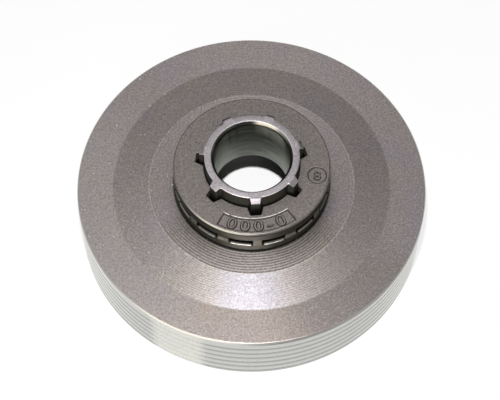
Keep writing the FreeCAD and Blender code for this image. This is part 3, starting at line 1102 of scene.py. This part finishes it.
# %% Cup
CUP_INNER_RADIUS = 32.0
WEB_THICKNESS = 2.3
HOLE_RADIUS = 9.43
FACE_ROUND = 0.12
RIDGE_PITCH = 2.04
RIDGE_FOOT = 0.72
RIDGE_COUNT = 6
RIDGE_ROWS = 10
RIDGE_LEAD = 3
CREST_BREADTH = 1.6
CUP_STEPS = 360
CONE_BLEND = 3.0
OPEN_CHAMFER = 0.5
OPEN_ROUND = 0.1
WALL_ROUND = 0.05
HOLE_ROUND = 0.15
INSIDE_ROUND = 1.0
web_top = drum_high.z


def ridged_wall():
    """Wall from the open edge upwards: broad crests with narrower troughs between them."""
    rows = []
    for row in range(-RIDGE_LEAD, RIDGE_COUNT * RIDGE_ROWS - RIDGE_ROWS // 2 + 1):
        turn = row / RIDGE_ROWS
        dip = (0.5 + 0.5 * math.cos(2 * math.pi * turn)) ** CREST_BREADTH
        rows.append((drum_radius - RIDGE_DEPTH * dip, RIDGE_FOOT + turn * RIDGE_PITCH, 0))
    return rows


cup_outline = rounded([
    (CUP_INNER_RADIUS + OPEN_CHAMFER, 0, OPEN_ROUND),
    (drum_radius - OPEN_ROUND, 0, 0),
    *ridged_wall(),
    (drum_radius, FACE_HEIGHT - FACE_CHAMFER, WALL_ROUND),
    (drum_radius - FACE_CHAMFER, FACE_HEIGHT, FACE_ROUND),
    (CONE_START, FACE_HEIGHT, CONE_BLEND),
    (CONE_END, web_top, CONE_BLEND),
    (HOLE_RADIUS, web_top, HOLE_ROUND),
    (HOLE_RADIUS, web_top - WEB_THICKNESS, HOLE_ROUND),
    (CONE_END, web_top - WEB_THICKNESS, CONE_BLEND),
    (CONE_START, FACE_HEIGHT - WEB_THICKNESS, CONE_BLEND),
    (CUP_INNER_RADIUS, FACE_HEIGHT - WEB_THICKNESS, INSIDE_ROUND),
    (CUP_INNER_RADIUS, OPEN_CHAMFER, OPEN_ROUND),
])
cup = turned_piece("turned_cup", cup_outline, CUP_STEPS, turned_steel)
close_up(cup)
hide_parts("clutch_drum")
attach(cup, "drum")

# %% [markdown]
# ## What repeats seven times
# Hub and rim repeat the same form seven times round the axis. One half of a seventh is made as a
# grid of columns, with every edge's small rounding as rows of its own. The other half is its
# mirror image. A Geometry Nodes tree turns copies of that seventh round the axis and merges their
# seams, which leaves clean four-sided faces where a Boolean would leave slivers.

# %% Repeating tree
HALF_SECTOR = math.pi / SPLINE_COUNT
SEAM_MERGE = 0.002 * MM


def repeating_tree():
    """Copies one sector round the axis and merges the seams."""
    tree, given = new_tree("copies_round_axis", {
        "Count": "NodeSocketInt",
        "First angle": "NodeSocketFloat",
        "Merge distance": "NodeSocketFloat",
        "Material": "NodeSocketMaterial",
    })
    points = given["Count"].node("GeometryNodePoints", None, {"Count": given["Count"]})
    index = points.node("GeometryNodeInputIndex")
    angle = given["First angle"] + index * (2 * math.pi) / given["Count"]
    turn = angle.node("ShaderNodeCombineXYZ", None, {"Z": angle})
    copies_inputs = {"Points": points, "Instance": given["Geometry"], "Rotation": turn}
    copies = points.node("GeometryNodeInstanceOnPoints", None, copies_inputs)
    real = copies.node("GeometryNodeRealizeInstances", None, {0: copies})
    merge_inputs = {"Geometry": real, "Distance": given["Merge distance"]}
    merged = real.node("GeometryNodeMergeByDistance", None, merge_inputs)
    end_tree(tree, merged, given["Material"])
    return tree


repeat_sector = repeating_tree()
print("tree:", repeat_sector.name)


# %% Half sectors
def sector_piece(name, columns, material):
    """Ring piece from the columns of one half sector, each a closed loop of (x, y, z) rows."""
    mirrored = [[(x, -y, z) for x, y, z in rows] for rows in reversed(columns[1:])]
    columns = mirrored + columns
    rows = len(columns[0])
    vertices = [spot for column in columns for spot in column]
    faces = []
    for column in range(len(columns) - 1):
        for row in range(rows):
            next_row = (row + 1) % rows
            here, there = column * rows, (column + 1) * rows
            faces.append((here + row, there + row, there + next_row, here + next_row))
    piece = new_piece(name, vertices, [], faces)
    values = {"Count": SPLINE_COUNT, "First angle": SPLINE_ANGLE, "Merge distance": SEAM_MERGE}
    run_tree(piece, repeat_sector, {**values, "Material": material})
    close_up(piece)
    return piece


def outward_normals(points):
    """Unit normals to the right of a path's direction."""
    normals = []
    for index in range(len(points)):
        before = points[max(index - 1, 0)]
        after = points[min(index + 1, len(points) - 1)]
        along = (after - before).normalized()
        normals.append(Vector((along.y, -along.x)))
    normals[0] = Vector((normals[0].x, 0)).normalized()
    return normals


def on_circle(radius, angle):
    return Vector((radius * math.cos(angle), radius * math.sin(angle)))


def arc(radius, start, end, steps):
    return [on_circle(radius, start + (end - start) * step / steps) for step in range(steps + 1)]


print("half a sector is", round(math.degrees(HALF_SECTOR), 2), "degrees")

# %% [markdown]
# ## The hub
# The hub is a sleeve with seven teeth. Each tooth narrows towards its tip and slopes down at the
# top, so that the rim finds its way on. The bore opens in a short curve, which leads the bearing in.

# %% Tooth of the hub
TIP_HALF_WIDTH = 0.875
ROOT_HALF_WIDTH = 1.15
TOOTH_TAPER = (ROOT_HALF_WIDTH - TIP_HALF_WIDTH) / (TIP_RADIUS - SLEEVE_RADIUS)
TIP_FLAT = 0.4
TIP_ROUND = 0.15
FLANK_RADII = (10.05, 9.75)
ROOT_ROUND = 0.3
ROOT_TURN = 0.07
SLEEVE_STEPS = 10
FLANK_TRIES = 6


def flank_at(radius, half_width_at_tip, tip_radius):
    """Where a tapered flank meets a circle about the axis."""
    x = radius
    for _ in range(FLANK_TRIES):
        y = half_width_at_tip + TOOTH_TAPER * (tip_radius - x)
        x = math.sqrt(radius ** 2 - y ** 2)
    return x, y


def tooth_path():
    """Half of the hub's outline, from the middle of a tooth to the middle of a gap."""
    root_x, root_y = flank_at(SLEEVE_RADIUS, TIP_HALF_WIDTH, TIP_RADIUS)
    root_angle = math.atan2(root_y, root_x)
    sleeve = arc(SLEEVE_RADIUS, root_angle + ROOT_TURN, HALF_SECTOR, SLEEVE_STEPS)
    corners = [
        (TIP_RADIUS, 0, 0),
        (TIP_RADIUS, TIP_FLAT, 0),
        (TIP_RADIUS, TIP_HALF_WIDTH, TIP_ROUND),
        *[(x, TIP_HALF_WIDTH + TOOTH_TAPER * (TIP_RADIUS - x), 0) for x in FLANK_RADII],
        (root_x, root_y, ROOT_ROUND),
        *[(point.x, point.y, 0) for point in sleeve],
    ]
    return rounded(corners, steps=4, closed=False)


hub_path = tooth_path()
print("half a tooth and half a gap:", len(hub_path), "points")

# %% Hub
MOUTH_DEPTH = 1.0
MOUTH_STEPS = 6
MOUTH_CURVE = 1.4
MOUTH_ROUND = 0.05
BORE_FOOT_CHAMFER = 0.2
BEVEL_START = 9.53
BEVEL_DROP = 0.66
BEVEL_SLOPE = BEVEL_DROP / (TIP_RADIUS - BEVEL_START)
HUB_EDGE = 0.12
TOOTH_GAP = 0.01
ROUND_STEPS = [0.0, 0.25, 0.5, 0.75, 1.0]


def hub_column(point, normal):
    """Loop of rows from the bore's foot, up the bore, over the top and down the outside."""
    angle = math.atan2(point.y, point.x)

    def top_at(spot):
        return hub_top - max(0.0, spot.length - BEVEL_START) * BEVEL_SLOPE

    rows = []
    mouth_foot = hub_top - MOUTH_DEPTH
    inside = [
        (BORE_RADIUS + BORE_FOOT_CHAMFER, hub_foot),
        (BORE_RADIUS, hub_foot + BORE_FOOT_CHAMFER),
        (BORE_RADIUS, (hub_foot + mouth_foot) / 2),
    ]
    for step in range(MOUTH_STEPS):
        rise = step / MOUTH_STEPS
        inside.append((BORE_RADIUS + MOUTH_RUN * rise ** MOUTH_CURVE, mouth_foot + MOUTH_DEPTH * rise))
    inside += [
        (mouth_edge - MOUTH_ROUND, hub_top - 0.6 * MOUTH_ROUND),
        (mouth_edge + MOUTH_ROUND, hub_top),
        (mouth_edge + 4 * MOUTH_ROUND, hub_top),
    ]
    for radius, height in inside:
        spot = on_circle(radius, angle)
        rows.append((spot.x, spot.y, height))
    inset = point - normal * HUB_EDGE
    for reach in (BEVEL_START, inset.length):
        spot = inset.normalized() * min(reach, inset.length)
        rows.append((spot.x, spot.y, top_at(spot)))
    for share in ROUND_STEPS[1:]:
        turn = share * math.pi / 2
        spot = inset + normal * HUB_EDGE * math.sin(turn)
        rows.append((spot.x, spot.y, top_at(spot) - HUB_EDGE * (1 - math.cos(turn))))
    under_tooth = web_top + TOOTH_GAP
    rows.append((point.x, point.y, (hub_top + web_top) / 2))
    rows.append((point.x, point.y, under_tooth))
    sleeve = point.normalized() * min(SLEEVE_RADIUS, point.length)
    rows.append((sleeve.x, sleeve.y, under_tooth))
    rows.append((sleeve.x, sleeve.y, hub_foot))
    return rows


hub_columns = [hub_column(*pair) for pair in zip(hub_path, outward_normals(hub_path))]
hub = sector_piece("splined_sleeve", hub_columns, ground_steel)
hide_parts("splined_hub")
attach(hub, "drum")

# %% [markdown]
# ## The rim
# The rim is two rails round a core. Between the rails lies the channel for the chain's drive
# links, crossed by posts in line with the slots and by lower blocks halfway between them. A
# column of the grid runs round the rim's section: deep where the channel is open, level with the
# rails at a post, a little lower at a block.

# %% Slots and posts of the rim
RIM_BORE = 9.58
SLOT_HALF_WIDTH = 1.055
SLOT_FLOOR_PLACES = (0, 0.35, 0.7)
SLOT_ROUND = 0.25
SLOT_MIDDLE = 10.4
SLOT_MOUTH_ROUND = 0.15
SLOT_MOUTH_TURN = 0.03
SLOT_ROUND_STEPS = 3
POST_FLAT = 0.9


def slot_path(count):
    """Half of the rim's inner outline, from the middle of a slot to the middle of a land."""
    mouth_x, mouth_y = flank_at(RIM_BORE, SLOT_HALF_WIDTH, SLOT_RADIUS)
    mouth_angle = math.atan2(mouth_y, mouth_x)
    corners = [
        *[(SLOT_RADIUS, y, 0) for y in SLOT_FLOOR_PLACES],
        (SLOT_RADIUS, SLOT_HALF_WIDTH, SLOT_ROUND),
        (SLOT_MIDDLE, SLOT_HALF_WIDTH + TOOTH_TAPER * (SLOT_RADIUS - SLOT_MIDDLE), 0),
        (mouth_x, mouth_y, SLOT_MOUTH_ROUND),
    ]
    land_start = mouth_angle + SLOT_MOUTH_TURN
    first_land = (*on_circle(RIM_BORE, land_start), 0)
    fixed = len(rounded([*corners, first_land], SLOT_ROUND_STEPS, closed=False))
    land = arc(RIM_BORE, land_start, HALF_SECTOR, count - fixed)
    return rounded([*corners, *[(p.x, p.y, 0) for p in land]], SLOT_ROUND_STEPS, closed=False)


def outer_places():
    """Kind of section and angle of each column."""
    post_end = math.asin(POST_HALF_WIDTH / RIM_RADIUS)
    block_start = HALF_SECTOR - math.asin(BLOCK_HALF_WIDTH / RIM_RADIUS)
    post_steps, window_steps, block_steps = 3, 12, 3
    places = [("post", post_end * POST_FLAT * step / post_steps) for step in range(post_steps + 1)]
    places.append(("post_side", post_end))
    places += [
        ("open", post_end + (block_start - post_end) * step / window_steps)
        for step in range(window_steps + 1)
    ]
    places += [
        ("block", block_start + (HALF_SECTOR - block_start) * step / block_steps)
        for step in range(block_steps + 1)
    ]
    return places


rim_places = outer_places()
rim_path = slot_path(len(rim_places))
print("rim columns:", len(rim_places), len(rim_path))

# %% Section of the rim
CHANNEL_FLOOR = 12.65
BLOCK_RECESS = 0.3
RIM_CHAMFER = 0.4
RIM_FINE_EDGE = 0.12
TOP_ROUND = 0.16
FOOT_ROUND = 0.1
TRACK_EDGE = 0.3
TRACK_DROP = 0.11
BAR_ROWS = 0.3


def channel_rows(kind):
    """Radius and height of the section's outer middle, from the upper rail's lip to the lower one's."""
    fine = RIM_FINE_EDGE
    middle = (upper_lip + lower_lip) / 2
    depth = {"post": 0.0, "post_side": fine, "block": BLOCK_RECESS}.get(kind)
    if depth is None:
        bed = CHANNEL_FLOOR
        heights = (upper_lip, upper_lip, lower_lip, lower_lip)
        radii = ((RIM_RADIUS + bed) / 2, bed, bed, (RIM_RADIUS + bed) / 2)
    else:
        heights = (upper_lip, middle + BAR_ROWS, middle - BAR_ROWS, lower_lip)
        radii = (RIM_RADIUS - depth,) * 4
    edge = fine if kind in ("open", "block") else 0.0
    rows = [(RIM_RADIUS, upper_lip + fine), (RIM_RADIUS - edge, upper_lip)]
    rows += list(zip(radii, heights))
    ledge = min(TRACK_EDGE, depth) if kind == "block" else TRACK_EDGE if kind == "open" else 0.0
    rows += [(RIM_RADIUS - ledge, lower_lip), (RIM_RADIUS, lower_lip - TRACK_DROP)]
    return rows


chamfer_rows = rounded([
    (RIM_RADIUS - 2 * RIM_CHAMFER, rim_top, 0),
    (RIM_RADIUS - BROW_CHAMFER, rim_top, TOP_ROUND),
    (RIM_RADIUS, rim_top - BROW_CHAMFER, FOOT_ROUND),
    (RIM_RADIUS, rim_top - 2 * RIM_CHAMFER, 0),
], steps=3, closed=False)
print("rows over the upper edge:", len(chamfer_rows))

# %% Rim
TOP_SHARES = (0.35, 0.7)
BOTTOM_SHARES = (0.3, 0.65)


def rim_column(point, normal, kind, angle):
    """Loop of rows up the inside, over the top, down the outside and back along the bottom."""
    inner = point - normal * RIM_FINE_EDGE
    rows = []
    for share in ROUND_STEPS:
        turn = share * math.pi / 2
        spot = inner + normal * RIM_FINE_EDGE * math.sin(turn)
        rows.append((spot.x, spot.y, rim_bottom + RIM_FINE_EDGE * (1 - math.cos(turn))))
    for share in ROUND_STEPS:
        turn = share * math.pi / 2
        spot = inner + normal * RIM_FINE_EDGE * math.cos(turn)
        rows.append((spot.x, spot.y, rim_top - RIM_FINE_EDGE * (1 - math.sin(turn))))
    brow = on_circle(RIM_RADIUS - 2 * RIM_CHAMFER, angle)
    for share in TOP_SHARES:
        spot = inner.lerp(brow, share)
        rows.append((spot.x, spot.y, rim_top))
    foot = [(RIM_RADIUS, rim_bottom + RIM_CHAMFER), (RIM_RADIUS - RIM_CHAMFER, rim_bottom)]
    for radius, height in [*chamfer_rows, *channel_rows(kind), *foot]:
        spot = on_circle(radius, angle)
        rows.append((spot.x, spot.y, height))
    for share in BOTTOM_SHARES:
        spot = brow.lerp(inner, share)
        rows.append((spot.x, spot.y, rim_bottom))
    return rows


rim_normals = [-normal for normal in outward_normals(rim_path)]
rim_columns = [
    rim_column(point, normal, kind, angle)
    for point, normal, (kind, angle) in zip(rim_path, rim_normals, rim_places)
]
rim = sector_piece("chain_rim", rim_columns, pressed_steel)

# %% [markdown]
# ## Sunken fields on the rim
# The press left two shallow fields on the rim's top: a curved one that carries raised digits, and
# a round one with a single digit. They break the sevenfold rule, so they are cut into the finished
# ring with a Boolean. The cutter's walls lean a little, as in any press tool, and catch the light.

# %% Sunken fields
FIELD_DRAFT = 0.32
BAND_STEPS = 40
MARK_STEPS = 48
LEVEL_FACE = 0.9999


def band_outline(inset):
    """Curved field between two arcs, drawn in by an inset on all sides."""
    shift = inset / BAND_INNER
    outer = arc(BAND_OUTER - inset, BAND_START + shift, BAND_END - shift, BAND_STEPS)
    inner = arc(BAND_INNER + inset, BAND_END - shift, BAND_START + shift, BAND_STEPS)
    return outer + inner


def mark_outline(inset):
    circle = arc(MARK_RADIUS - inset, 0, 2 * math.pi, MARK_STEPS)
    return [MARK_PLACE + point for point in circle[:-1]]


def sink_field(piece, outline):
    """Cuts a field into the top of a piece."""
    lower = [(*point, rim_top - FIELD_DEPTH) for point in outline(FIELD_DRAFT)]
    upper = [(*point, rim_top + FIELD_DEPTH) for point in outline(-FIELD_DRAFT)]
    count = len(lower)
    faces = [tuple(reversed(range(count))), tuple(range(count, 2 * count))]
    for index in range(count):
        after = (index + 1) % count
        faces.append((index, after, count + after, count + index))
    cutter = new_piece("field_cutter", lower + upper, [], faces)
    cutter.data.materials.append(pressed_steel)
    cut = piece.modifiers.new("field", "BOOLEAN")
    cut.operation = "DIFFERENCE"
    cut.solver = "EXACT"
    cut.object = cutter
    keep_result(piece)
    bpy.data.objects.remove(cutter)


def flatten_tops(piece):
    """Gives level faces exactly upright corner normals, which a Boolean's long faces lose."""
    mesh = piece.data
    normals = [corner.vector.copy() for corner in mesh.corner_normals]
    for face in mesh.polygons:
        if face.normal.z > LEVEL_FACE:
            for corner in face.loop_indices:
                normals[corner] = Vector((0, 0, 1))
    mesh.normals_split_custom_set(normals)


for field in (band_outline, mark_outline):
    sink_field(rim, field)
close_up(rim)
flatten_tops(rim)
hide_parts("rim_sprocket")
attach(rim, "rim")

# %% [markdown]
# ## Raised digits
# Blender's own text gives the digits as solids with softened edges. They become a mesh first, and
# the curved row is then bent round the axis: its base line lies on a circle, and the tops of the
# digits point to the axis, so that the row reads from the front.

# %% Digits as solids
ROW_WORDS = "000-0"
ROW_WIDTH = 11.8
ROW_HEIGHT = 2.7
ROW_SPACING = 1.3
MARK_WORDS = "8"
MARK_WIDTH = 1.5
MARK_HEIGHT = 2.2
LETTER_FLANK = 0.055
LETTER_THIN = -0.012
LETTER_STEPS = 6


def text_mesh(name, words, width, height, spacing=1.0):
    """Solid letters fitted to a width and height in millimetres, centred, with their foot at 0."""
    letters = bpy.data.curves.new(name, "FONT")
    letters.body = words
    letters.bevel_depth = LETTER_FLANK
    letters.bevel_resolution = 0
    letters.offset = LETTER_THIN
    letters.space_character = spacing
    letters.resolution_u = LETTER_STEPS
    source = bpy.data.objects.new(name, letters)
    bpy.context.scene.collection.objects.link(source)
    depsgraph = bpy.context.evaluated_depsgraph_get()
    mesh = bpy.data.meshes.new_from_object(source.evaluated_get(depsgraph))
    bpy.data.objects.remove(source)
    places = [vertex.co for vertex in mesh.vertices]
    low = Vector([min(axis) for axis in zip(*places)])
    high = Vector([max(axis) for axis in zip(*places)])
    wanted = Vector((width, height, 2 * FIELD_DEPTH))
    for vertex in mesh.vertices:
        share = [(vertex.co[i] - low[i]) / (high[i] - low[i]) for i in range(3)]
        vertex.co = ((share[0] - 0.5) * wanted.x, share[1] * wanted.y, share[2] * wanted.z)
    return mesh


row_mesh = text_mesh("row", ROW_WORDS, ROW_WIDTH, ROW_HEIGHT, ROW_SPACING)
mark_mesh = text_mesh("mark", MARK_WORDS, MARK_WIDTH, MARK_HEIGHT)
print("digits:", len(row_mesh.polygons), "and", len(mark_mesh.polygons), "faces")

# %% Raised digits
ROW_BASE = 14.85
LETTER_MERGE = 0.001


def raised_digits(name, mesh, placed):
    """Piece on the rim from a text mesh, each point put in place by a function."""
    for vertex in mesh.vertices:
        flat = placed(vertex.co.x, vertex.co.y)
        height = rim_top - 2 * FIELD_DEPTH + vertex.co.z
        vertex.co = Vector((flat.x, flat.y, height)) * MM
    mesh.materials.clear()
    mesh.materials.append(pressed_steel)
    piece = bpy.data.objects.new(name, mesh)
    bpy.context.scene.collection.objects.link(piece)
    close_up(piece, merge=LETTER_MERGE)
    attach(piece, "rim")


def on_row(x, y):
    middle = ROW_BASE - ROW_HEIGHT / 2
    return on_circle(ROW_BASE - y, (BAND_START + BAND_END) / 2 + x / middle)


def on_mark(x, y):
    return MARK_PLACE + Vector((x, y - MARK_HEIGHT / 2))


raised_digits("row_digits", row_mesh, on_row)
raised_digits("mark_digit", mark_mesh, on_mark)
